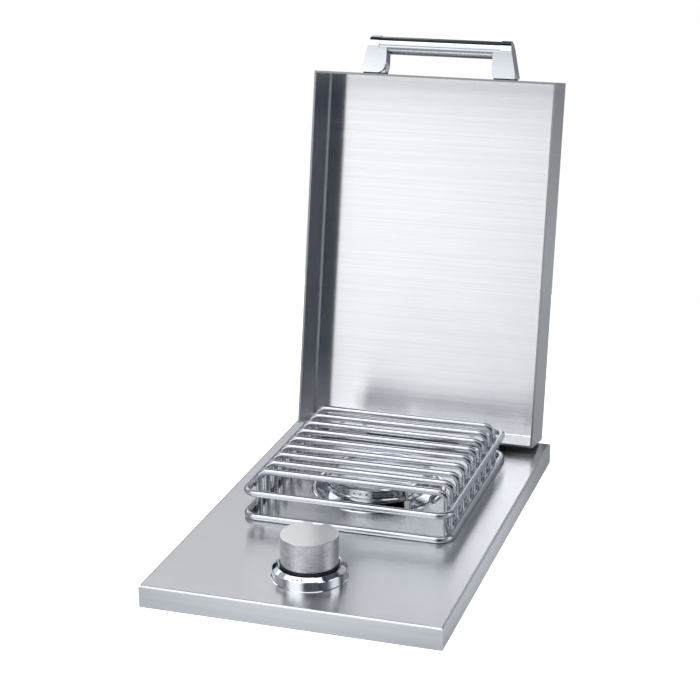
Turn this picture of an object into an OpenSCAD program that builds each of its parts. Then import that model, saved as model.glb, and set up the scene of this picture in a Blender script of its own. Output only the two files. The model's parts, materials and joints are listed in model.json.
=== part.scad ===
// Built in gas side burner: a drop-in deck with a burner box below the counter,
// a lift-off rod grate, one burner with its gas train, and a hinged lid that stands open.
// Millimetres. Z = 0 is the counter top under the deck's flange, +Y points to the hinge side.

/* [Deck] */
// Width of the deck
deck_w = 330; // [324:1:380]
// Depth of the deck from front to back
deck_d = 512; // [506:1:580]
// Height of the skirt that rests on the counter
skirt_h = 25; // [22:0.5:40]
// Thickness of the deck sheet
deck_t = 1.2; // [0.8:0.1:2]
// Outer radius of the bend round the top of the deck
deck_bend = 2.5; // [1.5:0.25:4]
// Width of the flange turned in under the skirt
return_w = 13; // [8:1:13]

/* [Burner box] */
// Outer width of the box that drops into the counter
box_w = 284; // [276:1:284]
// Outer depth of the box from front to back
box_d = 432; // [420:1:434]
// Distance of the box centre in front of the deck centre
box_forward = 10; // [8:1:12]
// Depth of the box below the counter top
box_h = 95; // [85:1:140]
// Thickness of the box sheet
box_t = 1; // [0.8:0.1:1.5]
// Width of the rim that bolts up under the deck
box_rim = 12; // [11:0.5:12]
// Number of vent slots in each side wall
vent_count = 6; // [2:1:8]
// Length of one vent slot
vent_l = 40; // [20:1:45]
// Height of one vent slot
vent_h = 6; // [4:1:10]
// Diameter of the studs that hold the box to the deck
stud_d = 5; // [4:0.5:5]
// Length of the studs below the deck sheet
stud_l = 12; // [9:0.5:16]

/* [Lid] */
// Outer width of the lid
lid_w = 303; // [290:1:320]
// Outer length of the lid from its front wall to its hinge wall
lid_d = 443; // [430:1:450]
// Height of the lid's walls
lid_h = 63; // [61:1:80]
// Thickness of the lid sheet
lid_t = 1.2; // [0.8:0.1:1.6]
// Outer radius of the bends round the lid's panel
lid_bend = 3.2; // [2:0.2:5]
// Height of the folded hem along the free edges
lid_hem = 8; // [4:1:12]
// Gap between the closed lid and the deck
lid_gap = 0.5; // [0.4:0.1:3]
// Distance from the deck's rear edge to the closed lid's rear face
lid_back = 49.5; // [46:0.5:56]
// Angle that the open lid leans back past upright
lean = 11; // [9:0.5:11]

/* [Lid hinges] */
// Distance of each hinge from the middle
hinge_x = 85; // [60:1:105]
// Width of one hinge
hinge_w = 50; // [40:1:60]
// Outer radius of the knuckles
knuckle_r = 4.5; // [4.3:0.1:5]
// Radius of the hinge pins
hinge_pin_r = 2.2; // [1.5:0.1:2.5]
// Thickness of the hinge leaves
leaf_t = 1.5; // [1:0.1:1.5]
// Distance of the pin's axis behind the lid's rear face
hinge_setback = 5.4; // [5.4:0.1:6]
// Depth of the leaf that lies on the deck
deck_leaf_d = 31; // [28:1:32]
// Distance between the two fasteners of a leaf
leaf_hole_gap = 30; // [20:1:32]

/* [Lid handle] */
// Half the width over the feet of the two brackets
handle_half = 98; // [90:1:130]
// Width of a bracket's foot
bracket_w = 32; // [30:1:40]
// Amount by which a bracket leans in towards its top
bracket_lean = 10; // [5:0.5:12]
// Width of the boss at the top of a bracket
boss_w = 13; // [12:0.5:16]
// Width of the ledge beside the boss
ledge_w = 13.5; // [10:0.5:16]
// Diameter of the handle bar
bar_d = 21.5; // [18:0.5:22]
// Height of the bar's axis above the lid's front wall
bar_out = 34.8; // [32:0.2:45]
// Thickness of the pads under the brackets
pad_t = 1.6; // [1:0.1:3]

/* [Grate] */
// Diameter of the grate's rods
rod_d = 8; // [7:0.25:8]
// Outer width of the grate's rings
grate_w = 246; // [238:1:256]
// Outer depth of the grate's rings
grate_d = 271; // [262:1:271]
// Bend radius of the rings at the rod's centre line
ring_bend = 14; // [10:1:16]
// Height of the upper ring's centre above the deck
upper_ring_h = 32.5; // [24:0.5:35]
// Height of the top of the bars above the deck
grate_h = 53; // [46:0.5:54]
// Number of bars
bar_count = 9; // [5:1:9]
// Distance from bar to bar
bar_pitch = 26.1; // [18:0.1:26.1]
// Bend radius of the bars at the rod's centre line
bar_bend = 11; // [9:1:16]

/* [Burner] */
// Distance of the burner behind the deck centre
burner_y = 66; // [64:1:67]
// Width from the burner base's rim to the drip bowl's outer edge
bowl_margin = 16; // [15:0.5:20]
// Depth of the drip bowl below the deck
bowl_h = 15; // [14:0.5:18]
// Thickness of the drip bowl's sheet
bowl_t = 1; // [0.6:0.1:1]
// Radius of the burner base's rim
base_r = 63.5; // [62.5:0.5:64]
// Radius of the port ring
port_ring_r = 61.5; // [58:0.5:61.5]
// Height of the base's rim above the deck
base_top = 11; // [10:0.5:12]
// Height of the port ring
port_ring_h = 7.4; // [6.5:0.1:9]
// Number of ports
port_count = 52; // [24:2:60]
// Diameter of one port
port_d = 2.2; // [1.5:0.1:2.5]
// Outer radius of the mixing tube
tube_r = 14; // [13:0.5:15]
// Wall of the mixing tube
tube_wall = 2.5; // [2:0.25:3]
// Depth of the mixing tube's axis below the counter top
tube_drop = 18; // [17:0.5:22]
// Depth of the support strap from front to back
strap_d = 52; // [48:1:60]
// Height of the strap's folded ends
strap_drop = 24; // [20:1:30]
// Distance between the two screws of a folded end
strap_hole_gap = 32; // [24:1:36]
// Depth of those screws below the strap's top
strap_hole_drop = 14; // [10:1:18]

/* [Knob and bezel] */
// Distance of the knob's axis behind the box's front wall
knob_inset = 43; // [40:1:46]
// Radius of the knob at its top
knob_top_r = 31.2; // [27:0.2:31.4]
// Radius of the knob at its lower edge
knob_low_r = 30.8; // [27:0.2:31]
// Height of the knob's top above the deck
knob_h = 49.5; // [44:0.5:52]
// Thickness of the knob's top
knob_top_t = 4.5; // [4:0.5:6]
// Height of the knob's lower edge above the deck
knob_low = 17.5; // [14:0.5:18]
// Wall of the knob's shell
knob_wall = 2.6; // [2:0.2:3.5]
// Radius of the thumb notch in the knob's rim
notch_r = 14; // [10:0.5:16]
// Travel when the knob is pushed in to turn
push_travel = 3; // [2:0.5:3.5]
// Outer radius of the bezel's upright wall
bezel_r = 40; // [38:0.2:41]
// Radius of the bezel's upper edge
bezel_top_r = 34.6; // [34.6:0.2:36]
// Height of the bezel above the deck
bezel_h = 15; // [13:0.5:16]
// Height of the bezel's upright wall
bezel_wall_h = 11.5; // [8:0.5:12]

/* [Valve and gas line] */
// Outer radius of the valve's barrel
valve_r = 13; // [12.5:0.5:14]
// Radius of the valve stem
stem_r = 4; // [3.5:0.1:4.2]
// Depth of the valve's mounting flange from front to back
valve_flange_d = 26; // [24:1:30]
// Depth of the valve below the mixing tube's axis
valve_tail = 14; // [12:0.5:18]
// Width of the spark unit
module_w = 36; // [30:1:40]
// Depth of the spark unit from front to back
module_d = 26; // [22:1:28]
// Height of the spark unit
module_h = 28; // [24:1:30]
// Length of the valve's pad that carries the spark unit
pad_l = 42; // [40:1:46]
// Height of that pad
pad_h = 20; // [18:1:24]
// Radius of the gas pipe
pipe_r = 4.75; // [4:0.25:5]
// Distance of the gas pipe from the box's side wall
pipe_inset = 30; // [26:1:42]
// Bend radius of the gas pipe
pipe_bend = 22; // [16:1:30]
// Outer radius of the inlet fitting's thread
inlet_r = 7.94; // [7.9:0.02:8.4]
// Length of the inlet fitting outside the box
inlet_l = 30; // [24:1:32]

/* [Hidden] */

$fn = 48;
eps = 0.5;          // how far a cutter runs past the face it cuts
run_fit = 0.05;     // radial clearance of a pin or shaft that turns
screw_r = 2;        // radius of the larger screws' shanks
small_r = 1.5;      // radius of the smaller screws' shanks
thread_fit = 0.05;  // radial clearance that stands for a thread
hole_fit = 0.2;     // radial clearance of a screw in its hole

brushed = "#b9bdc4";
polished = "#d9dce1";
dark_steel = "#8f949c";
brass = "#c9a24a";
black = "#2a2b2e";

// Heights of the deck
deck_z = skirt_h;
under_z = deck_z - deck_t;

// Burner box
box_y = -box_forward;
box_front = box_y - box_d / 2;
box_rear = box_y + box_d / 2;
knob_y = box_front + knob_inset;
pipe_x = box_w / 2 - pipe_inset;
rim_z = under_z - box_t;
stud_x = box_w / 2 + box_rim / 2;
stud_ys = [box_y - box_d * 0.4, box_y, box_y + box_d * 0.4];
nut_h = 4;
nut_r = 5;

// Lid and its pivot
lid_rear = deck_d / 2 - lid_back;
lid_front = lid_rear - lid_d;
lid_mid_y = (lid_rear + lid_front) / 2;
lid_low = deck_z + lid_gap;
pivot_y = lid_rear + hinge_setback;
pivot_z = deck_z + knuckle_r;
open_angle = 90 + lean;

// Height on the closed hinge leaf that comes down on the deck's rear bend when the lid opens
rest_reach = deck_d / 2 - deck_bend - pivot_y;
lid_leaf_h = (rest_reach + deck_bend * sin(lean)
              - (hinge_setback - leaf_t) * sin(lean)) / cos(lean) + 2;
leaf_hole_h = knuckle_r + 16;
deck_hole_y = pivot_y + 19;
knuckle_gap = 0.3;
knuckle_step = hinge_w / 3;
leaf_clear = knuckle_r + 0.25;

// Handle, in a frame whose Y runs out of the lid's front wall
handle_z = lid_low + lid_h / 2;
casting_half_t = bar_d / 2 + 1.05;
casting_draft = 1.6;
bracket_mid = handle_half - bracket_w / 2 + 1.5;
ledge_y = bar_out - 2.8;
bar_half = handle_half - bracket_lean - 5;
bracket_round = 10;
handle_screw_gap = 14;
handle_thread = 10;

// Grate
rod_r = rod_d / 2;
ring_x = grate_w / 2 - rod_r;
ring_y = grate_d / 2 - rod_r;
leg_x = ring_x - rod_d - 0.05;

// Burner heights, counted from the counter top
base_top_z = deck_z + base_top;
ring_top_z = base_top_z + port_ring_h;
port_z = base_top_z + port_ring_h * 0.55;
plate_z = 0;
plate_t = 2;
strap_holes = [for (s = [-1, 1]) burner_y + s * strap_hole_gap / 2];
clip_hole_y = burner_y - 18;
throat_r = tube_r + 6;
lug_x = 36;
lug_r = 4.5;
lug_thread = 9;
bowl_r = base_r + bowl_margin;
bowl_floor_z = deck_z - bowl_h;
bowl_hole_r = bowl_r - 5.5;
tube_z = -tube_drop;
tube_in = tube_r - tube_wall;
mouth_gap = 53;
mouth_y = knob_y + mouth_gap;
window_a = 60;
window_y0 = mouth_y + 7;
window_l = 13;
shutter_in = tube_r + run_fit;
shutter_out = shutter_in + 1.2;

// Electrode
spark_off = round((base_r + 5) * 7.07) / 10;
spark_x = spark_off;
spark_y = burner_y - spark_off;
ceramic_r = 3;
ceramic_top = deck_z + 7;
ceramic_low = -8;
clip_z = plate_z;
clip_t = 1.5;

// Valve
flange_t = 4;
valve_top = under_z;
valve_low = tube_z - valve_tail;
chamber_r = valve_r - 3;
plug_top_z = valve_top - 28;
plug_low_z = valve_low + 4;
plug_top_r = chamber_r - 2;
plug_low_r = plug_top_r - 1.5;
plug_fit = 0.03;
collar_r = chamber_r - 1.5;
bonnet_t = 5.6;
bonnet_z = valve_top - bonnet_t;
collar_t = 2;
disc_t = 3;
tang_w = 3;
tang_slot = 10;
valve_screw_x = valve_r + 5;
flange_end = 8;
bezel_floor = 1.5;
stem_top = deck_z + knob_h - 12;
skirt_r = knob_low_r + 1.2;
skirt_t = 4;
skirt_z = deck_z + knob_low - 0.3 - skirt_t;
hub_low = skirt_z;
boss_r = 8;
outlet_end = knob_y + valve_r + 12;
inlet_end = valve_r + 11;
bulkhead_r = inlet_r + 1;
pad_x = -(valve_r + 3);
ear_t = 1.5;
module_x = pad_x - ear_t - module_w;
module_hole = pad_l / 2 - 4;
lead_plug = 4;
lead_reach = 24.5;
lead_r = 2;
lead_bend = 8;
lead_rise = 26;
boot_r = 3.4;
boot_l = 12;

// A quarter turn, or any arc, as points round a centre
function arc(cx, cy, r, from, to, n = 6) =
    [for (i = [0:n]) let (a = from + (to - from) * i / n) [cx + r * cos(a), cy + r * sin(a)]];

// Outline of a folded cap, open below: two walls and rounded upper corners
module folded_profile(w, h, r, drop = 0) {
    polygon(concat([[-w / 2, -drop], [w / 2, -drop]],
                   arc(w / 2 - r, h - r, r, 0, 90),
                   arc(-w / 2 + r, h - r, r, 90, 180)));
}

// Solid under a sheet cap, with every upper edge bent round
module folded_block(w, d, h, r, drop = 0) {
    intersection() {
        rotate([90, 0, 0])
            linear_extrude(height = d, center = true)
                folded_profile(w, h, r, drop);
        rotate([90, 0, 90])
            linear_extrude(height = w, center = true)
                folded_profile(d, h, r, drop);
    }
}

// Sheet cap: four walls and a top of one thickness
module folded_sheet(w, d, h, r, t) {
    difference() {
        folded_block(w, d, h, r);
        folded_block(w - 2 * t, d - 2 * t, h - t, max(r - t, 0.4), eps);
    }
}

// Upright frame of a given wall, used for hems and turned-in flanges
module frame_strip(w, d, h, wall) {
    difference() {
        translate([-w / 2, -d / 2, 0])
            cube([w, d, h]);
        translate([-w / 2 + wall, -d / 2 + wall, -eps])
            cube([w - 2 * wall, d - 2 * wall, h + 2 * eps]);
    }
}

// Unit vector along a leg, and any unit vector square to it
function unit(v) = v / norm(v);
function square_to(a) = abs(a[0]) > 0.5 ? [0, 1, 0] : [1, 0, 0];

// Places children with their Z axis along a, X axis along u, at point p
module placed(p, u, v, a) {
    multmatrix([[u[0], v[0], a[0], p[0]],
                [u[1], v[1], a[1], p[1]],
                [u[2], v[2], a[2], p[2]],
                [0, 0, 0, 1]])
        children();
}

// Straight round rod from one point to another
module rod(p, q, r) {
    a = unit(q - p);
    u = square_to(a);
    placed(p, u, cross(a, u), a)
        cylinder(r = r, h = norm(q - p));
}

// Quarter bend at corner p, arriving along a and leaving along b
module elbow(p, a, b, r, bend) {
    placed(p - bend * a + bend * b, -b, a, cross(a, b))
        rotate_extrude(angle = 90)
            translate([bend, 0])
                circle(r = r);
}

// Round rod or pipe through points, with square corners bent to one radius
module bent_rod(pts, r, bend, closed = false) {
    n = len(pts);
    legs = closed ? n : n - 1;
    for (i = [0:legs - 1]) {
        p = pts[i];
        q = pts[(i + 1) % n];
        a = unit(q - p);
        from = p + (closed || i > 0 ? bend : 0) * a;
        to = q - (closed || i < legs - 1 ? bend : 0) * a;
        rod(from, to, r);
        if (closed || i < legs - 1)
            elbow(q, a, unit(pts[(i + 2) % n] - q), r, bend);
    }
}

// Hexagon prism measured across its flats, standing on Z
module hex(af, h) {
    cylinder(r = af / 2 / cos(30), h = h, $fn = 6);
}

// Turns a piece on Z so that it points along +Y
module along_y(x, y, z) {
    translate([x, y, z])
        rotate([-90, 0, 0])
            children();
}

// Swings what belongs to the closed lid into its open place
module opened() {
    translate([0, pivot_y, pivot_z])
        rotate([-open_angle, 0, 0])
            translate([0, -pivot_y, -pivot_z])
                children();
}

// Both hinges, and the two fastener places of each leaf
module each_hinge() {
    for (x = [-hinge_x, hinge_x])
        translate([x, 0, 0])
            children();
}
module each_leaf_hole() {
    each_hinge()
        for (x = [-leaf_hole_gap / 2, leaf_hole_gap / 2])
            translate([x, 0, 0])
                children();
}

// Deck: folded pan with its turned-in flange, bowl opening and fastener holes
module deck() {
    color(brushed)
    difference() {
        union() {
            folded_sheet(deck_w, deck_d, deck_z, deck_bend, deck_t);
            frame_strip(deck_w, deck_d, deck_t, return_w);
        }
        translate([0, burner_y, under_z - eps])
            cylinder(r = bowl_hole_r, h = deck_t + 2 * eps, $fn = 96);
        translate([0, knob_y, under_z - eps])
            cylinder(r = collar_r, h = deck_t + 2 * eps);
        for (x = [-valve_screw_x, valve_screw_x])
            translate([x, knob_y, under_z - eps])
                cylinder(r = screw_r + hole_fit, h = deck_t + 2 * eps);
        each_leaf_hole()
            translate([0, deck_hole_y, under_z - eps])
                cylinder(r = screw_r + hole_fit, h = deck_t + 2 * eps);
    }
}

// Weld studs under the deck that carry the box
module deck_studs() {
    color(dark_steel)
    for (x = [-stud_x, stud_x], y = stud_ys)
        translate([x, y, under_z - stud_l])
            cylinder(d = stud_d, h = stud_l);
}

module box_nuts() {
    color(dark_steel)
    for (x = [-stud_x, stud_x], y = stud_ys)
        translate([x, y, rim_z - nut_h])
            difference() {
                union() {
                    hex(8, nut_h);
                    translate([0, 0, nut_h - 1])
                        cylinder(r = nut_r, h = 1);
                }
                translate([0, 0, -eps])
                    cylinder(d = stud_d + 0.1, h = nut_h + 2 * eps);
            }
}

// Folded box under the deck, with vent slots in its walls
module burner_box() {
    color(dark_steel)
    difference() {
        translate([0, box_y, 0])
        union() {
            translate([-box_w / 2, -box_d / 2, -box_h])
                difference() {
                    cube([box_w, box_d, box_h + under_z]);
                    translate([box_t, box_t, box_t])
                        cube([box_w - 2 * box_t, box_d - 2 * box_t, box_h + under_z + eps]);
                }
            translate([0, 0, rim_z])
                frame_strip(box_w + 2 * box_rim, box_d + 2 * box_rim, box_t, box_rim + box_t);
        }
        for (x = [-stud_x, stud_x], y = stud_ys)
            translate([x, y, rim_z - eps])
                cylinder(d = stud_d + 0.5, h = box_t + 2 * eps);
        for (i = [0:vent_count - 1])
            translate([-box_w, box_y + (i - (vent_count - 1) / 2) * box_d * 0.155 - vent_l / 2,
                       -box_h + 16])
                cube([2 * box_w, vent_l, vent_h]);
        for (x = [-box_w / 4, box_w / 4])
            translate([x - vent_l / 2, box_front - eps, -box_h + 16])
                cube([vent_l, box_t + 2 * eps, vent_h]);
        along_y(pipe_x, box_rear - box_t - eps, tube_z)
            cylinder(r = bulkhead_r + 0.2, h = box_t + 2 * eps);
        for (y = strap_holes)
            translate([-box_w, y, plate_z - strap_hole_drop])
                rotate([0, 90, 0])
                    cylinder(r = screw_r + hole_fit, h = 2 * box_w);
    }
}

// Drip bowl: rolled rim on the deck, sloping wall, flat floor with its openings
module drip_bowl() {
    top = deck_z;
    rim_in = bowl_hole_r;
    color(polished)
    difference() {
        translate([0, burner_y, 0])
            rotate_extrude($fn = 96)
                polygon([[bowl_r, top], [bowl_r, top + 0.5], [bowl_r - 0.6, top + 1.3],
                         [bowl_r - 2, top + 1.8], [rim_in + 0.8, top + 1.4], [rim_in - 1.5, top - 0.6],
                         [base_r + 2, top - bowl_h * 0.5], [base_r - 4, top - bowl_h * 0.82],
                         [base_r - 18, bowl_floor_z + bowl_t], [throat_r + 3, bowl_floor_z + bowl_t],
                         [throat_r + 3, bowl_floor_z], [base_r - 18, bowl_floor_z],
                         [base_r - 3.2, top - bowl_h * 0.82 - bowl_t],
                         [base_r + 2.8, top - bowl_h * 0.5 - bowl_t],
                         [rim_in - 1.2, top - 0.6 - 1.4 * bowl_t], [rim_in - 0.2, top]]);
        for (x = [-lug_x, lug_x])
            translate([x, burner_y, bowl_floor_z - eps])
                cylinder(r = lug_r + 0.8, h = 2 * bowl_t + 2 * eps);
        translate([spark_x, spark_y, bowl_floor_z])
            cylinder(r = ceramic_r + 1.2, h = bowl_h);
    }
}

// Cast burner base: rim, cone, throat and the mixing tube with its air windows
module burner_base() {
    cone_low = deck_z - 11;
    color(polished)
    difference() {
        union() {
            translate([0, burner_y, 0])
                rotate_extrude($fn = 96)
                    polygon([[0, base_top_z - 2], [port_ring_r - 8, base_top_z - 2],
                             [port_ring_r - 8, base_top_z], [base_r - 1, base_top_z],
                             [base_r, base_top_z - 1], [base_r, base_top_z - 5],
                             [base_r - 1.5, base_top_z - 6.4], [base_r - 14, deck_z - 3],
                             [throat_r, cone_low], [throat_r, tube_z - throat_r * 0.8],
                             [0, tube_z - throat_r * 0.8]]);
            along_y(0, mouth_y, tube_z)
                cylinder(r = tube_r, h = burner_y - mouth_y);
            for (x = [-lug_x, lug_x])
                translate([x, burner_y, plate_z])
                    cylinder(r = lug_r, h = deck_z - 5);
        }
        translate([0, burner_y, 0])
            rotate_extrude($fn = 96)
                polygon([[0, base_top_z + 1], [port_ring_r - 12, base_top_z + 1],
                         [port_ring_r - 12, base_top_z - 7], [base_r - 17, deck_z + 1],
                         [throat_r - 4, cone_low + 3], [throat_r - 4, tube_z - throat_r * 0.8 + 4],
                         [0, tube_z - throat_r * 0.8 + 4]]);
        along_y(0, mouth_y + 3, tube_z)
            cylinder(r = tube_in, h = burner_y - mouth_y - 3);
        along_y(0, mouth_y - eps, tube_z)
            cylinder(r = 6, h = 5);
        for (s = [0, 180])
            translate([0, window_y0, tube_z])
                rotate([0, s, 0])
                    window_cutter(tube_r + 2, window_l);
        for (x = [-lug_x, lug_x])
            translate([x, burner_y, plate_z - eps])
                cylinder(r = screw_r + thread_fit, h = lug_thread + 1 + eps);
    }
}

// Wedge that opens one air window, towards +X, along +Y
module window_cutter(r, l) {
    rotate([-90, 0, 0])
        linear_extrude(height = l)
            polygon([[0, 0], [r * 1.2, -r * 1.2 * tan(window_a / 2)],
                     [r * 1.2, r * 1.2 * tan(window_a / 2)]]);
}

// Sleeve that turns on the mixing tube and opens or closes its windows
module air_shutter() {
    color(dark_steel)
    difference() {
        union() {
            along_y(0, window_y0 - 5, tube_z)
                cylinder(r = shutter_out, h = window_l + 10);
            translate([-1.5, window_y0 - 3, tube_z + tube_r + 0.5])
                cube([3, 6, 10]);
        }
        along_y(0, window_y0 - 5 - eps, tube_z)
            cylinder(r = shutter_in, h = window_l + 10 + 2 * eps);
        for (s = [0, 180])
            translate([0, window_y0, tube_z])
                rotate([0, s, 0])
                    window_cutter(shutter_out + 2, window_l);
    }
}

// Ring of ports, seated on the base
module burner_port_ring() {
    color(polished)
    difference() {
        translate([0, burner_y, 0])
            rotate_extrude($fn = 96)
                polygon([[port_ring_r - 7, base_top_z], [port_ring_r - 1.4, base_top_z],
                         [port_ring_r - 1.4, base_top_z + 1.4], [port_ring_r, base_top_z + 1.6],
                         [port_ring_r, ring_top_z], [port_ring_r - 7, ring_top_z]]);
        for (i = [0:port_count - 1])
            translate([0, burner_y, port_z])
                rotate([0, 90, (i + 0.5) * 360 / port_count])
                    translate([0, 0, port_ring_r - 9])
                        cylinder(d = port_d, h = 11, $fn = 16);
    }
}

// Loose cap with a spigot that drops into the port ring
module burner_cap() {
    z = ring_top_z;
    r = port_ring_r;
    color(polished)
    translate([0, burner_y, 0])
        rotate_extrude($fn = 96)
            polygon([[0, z - 1.6], [r - 9, z - 1.6], [r - 9, z - 2.6], [r - 7.2, z - 2.6],
                     [r - 7.2, z], [r - 0.3, z], [r + 0.2, z + 0.4], [r - 0.1, z + 1.1],
                     [r - 2, z + 1.9], [r - 5, z + 2.3], [r - 8, z + 2], [r - 11, z + 0.9],
                     [r - 30, z + 1.3], [0, z + 1.5]]);
}

// Strap across the box that carries the burner, with ends folded down
module burner_support() {
    w = box_w / 2 - box_t;
    color(dark_steel)
    difference() {
        union() {
            translate([-w, burner_y - strap_d / 2, plate_z - plate_t])
                cube([2 * w, strap_d, plate_t]);
            for (s = [-1, 1])
                translate([s > 0 ? w - plate_t : -w, burner_y - strap_d / 2, plate_z - strap_drop])
                    cube([plate_t, strap_d, strap_drop]);
        }
        translate([0, burner_y, plate_z - plate_t - eps])
            cylinder(r = throat_r + 1.5, h = plate_t + 2 * eps);
        for (x = [-lug_x, lug_x])
            translate([x, burner_y, plate_z - plate_t - eps])
                cylinder(r = screw_r + hole_fit, h = plate_t + 2 * eps);
        translate([spark_x, clip_hole_y, plate_z - plate_t - eps])
            cylinder(r = small_r + thread_fit, h = plate_t + 2 * eps);
        for (y = strap_holes)
            translate([-box_w, y, plate_z - strap_hole_drop])
                rotate([0, 90, 0])
                    cylinder(r = screw_r + thread_fit, h = 2 * box_w);
    }
}

// Pan head screw: the head's seat is at Z = 0, the shank points down
module pan_screw(r, l, low = 0) {
    head_r = 2.1 * r;
    head_h = low > 0 ? low : 1.3 * r;
    translate([0, 0, -l])
        cylinder(r = r, h = l);
    difference() {
        union() {
            cylinder(r = head_r, h = head_h * 0.55);
            translate([0, 0, head_h * 0.55])
                cylinder(r1 = head_r, r2 = head_r * 0.7, h = head_h * 0.45);
        }
        for (a = [0, 90])
            rotate([0, 0, a])
                translate([-head_r * 0.5, -0.4, head_h * 0.5])
                    cube([head_r, 0.8, head_h]);
    }
}

module burner_screws() {
    color(dark_steel)
    for (x = [-lug_x, lug_x])
        translate([x, burner_y, plate_z - plate_t])
            rotate([180, 0, 0])
                pan_screw(screw_r, plate_t + lug_thread);
}

module support_screws() {
    color(dark_steel)
    for (s = [-1, 1], y = strap_holes)
        translate([s * box_w / 2, y, plate_z - strap_hole_drop])
            rotate([0, s * 90, 0])
                pan_screw(screw_r, box_t + plate_t + 4);
}

// Igniter electrode beside the port ring
module electrode_ceramic() {
    color("white")
    translate([spark_x, spark_y, 0])
        difference() {
            union() {
                translate([0, 0, ceramic_low])
                    cylinder(r = ceramic_r, h = ceramic_top - ceramic_low);
                translate([0, 0, clip_z + clip_t])
                    cylinder(r = ceramic_r + 1.5, h = 4);
            }
            translate([0, 0, ceramic_low - eps])
                cylinder(r = 1.05, h = ceramic_top - ceramic_low + 2 * eps);
        }
}

module electrode_pin() {
    top = [spark_x, spark_y, ceramic_top + 8];
    foot = [spark_x, spark_y, ceramic_low - 6];
    color(polished)
        bent_rod([foot, top, top + [0, 3.5, 0]], 1, 2);
}

// Flat clip that carries the electrode from the support strap
module electrode_clip() {
    color(dark_steel)
    difference() {
        translate([spark_x - 7, spark_y - 8, clip_z])
            cube([14, clip_hole_y + 6 - spark_y + 8, clip_t]);
        translate([spark_x, spark_y, clip_z - eps])
            cylinder(r = ceramic_r + 0.05, h = clip_t + 2 * eps);
        translate([spark_x, clip_hole_y, clip_z - eps])
            cylinder(r = small_r + hole_fit, h = clip_t + 2 * eps);
    }
}

module electrode_screw() {
    color(dark_steel)
    translate([spark_x, clip_hole_y, clip_z + clip_t])
        pan_screw(small_r, clip_t + plate_t + 3);
}

// Spark unit screwed by its ear to the pad on the side of the valve
module igniter_module() {
    color(black)
    difference() {
        union() {
            translate([module_x, knob_y - module_d / 2, tube_z - 10])
                cube([module_w + ear_t, module_d, module_h]);
            translate([pad_x - ear_t, knob_y - pad_l / 2, tube_z - pad_h * 0.4])
                cube([ear_t, pad_l, pad_h]);
            translate([module_x, knob_y, tube_z + 4])
                rotate([0, -90, 0])
                    cylinder(r = 3.5, h = lead_plug);
        }
        for (y = [-module_hole, module_hole])
            translate([pad_x - ear_t - eps, knob_y + y, tube_z + 2])
                rotate([0, 90, 0])
                    cylinder(r = small_r + hole_fit, h = ear_t + 2 * eps);
    }
}

module igniter_screws() {
    color(dark_steel)
    for (y = [-module_hole, module_hole])
        translate([pad_x - ear_t, knob_y + y, tube_z + 2])
            rotate([0, -90, 0])
                pan_screw(small_r, ear_t + 3);
}

// Insulated lead from the spark unit to the foot of the electrode
module igniter_lead() {
    start = [module_x - lead_plug, knob_y, tube_z + 4];
    side = start[0] - lead_reach;
    low = -box_h + lead_rise;
    foot = [spark_x, spark_y, ceramic_low - 6];
    color(black)
    union() {
        bent_rod([start, [side, start[1], start[2]], [side, start[1], low],
                  [side, foot[1], low], [foot[0], foot[1], low], foot - [0, 0, lead_bend]],
                 lead_r, lead_bend);
        translate(foot - [0, 0, boot_l])
            cylinder(r = boot_r, h = boot_l);
    }
}

// Valve: barrel, mounting flange, inlet and outlet bosses, pad for the spark unit
module valve_body() {
    color(brass)
    difference() {
        union() {
            translate([0, knob_y, valve_low])
                cylinder(r = valve_r, h = valve_top - valve_low);
            translate([-valve_screw_x - flange_end, knob_y - valve_flange_d / 2, valve_top - flange_t])
                cube([2 * (valve_screw_x + flange_end), valve_flange_d, flange_t]);
            along_y(0, knob_y, tube_z)
                cylinder(r = boss_r, h = outlet_end - knob_y);
            translate([0, knob_y, tube_z])
                rotate([0, 90, 0])
                    cylinder(r = boss_r, h = inlet_end);
            translate([pad_x, knob_y - pad_l / 2, tube_z - pad_h * 0.4])
                cube([7, pad_l, pad_h]);
        }
        translate([0, knob_y, plug_top_z])
            cylinder(r = chamber_r, h = valve_top - plug_top_z + eps);
        translate([0, knob_y, plug_low_z])
            cylinder(r1 = plug_low_r, r2 = plug_top_r, h = plug_top_z - plug_low_z);
        along_y(0, knob_y, tube_z)
            cylinder(r = 4.05, h = outlet_end - knob_y + eps);
        translate([0, knob_y, tube_z])
            rotate([0, 90, 0])
                cylinder(r = 3, h = inlet_end + eps);
        for (x = [-valve_screw_x, valve_screw_x])
            translate([x, knob_y, valve_top - flange_t - eps])
                cylinder(r = screw_r + thread_fit, h = flange_t + 2 * eps);
        for (y = [-module_hole, module_hole])
            translate([pad_x - eps, knob_y + y, tube_z + 2])
                rotate([0, 90, 0])
                    cylinder(r = small_r + thread_fit, h = 5);
    }
}

// Ring that closes the valve's chamber and guides the stem
module valve_bonnet() {
    color(brass)
    translate([0, knob_y, bonnet_z])
        difference() {
            cylinder(r = chamber_r - 0.02, h = bonnet_t);
            translate([0, 0, -eps])
                cylinder(r = stem_r + run_fit, h = bonnet_t + 2 * eps);
        }
}

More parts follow.
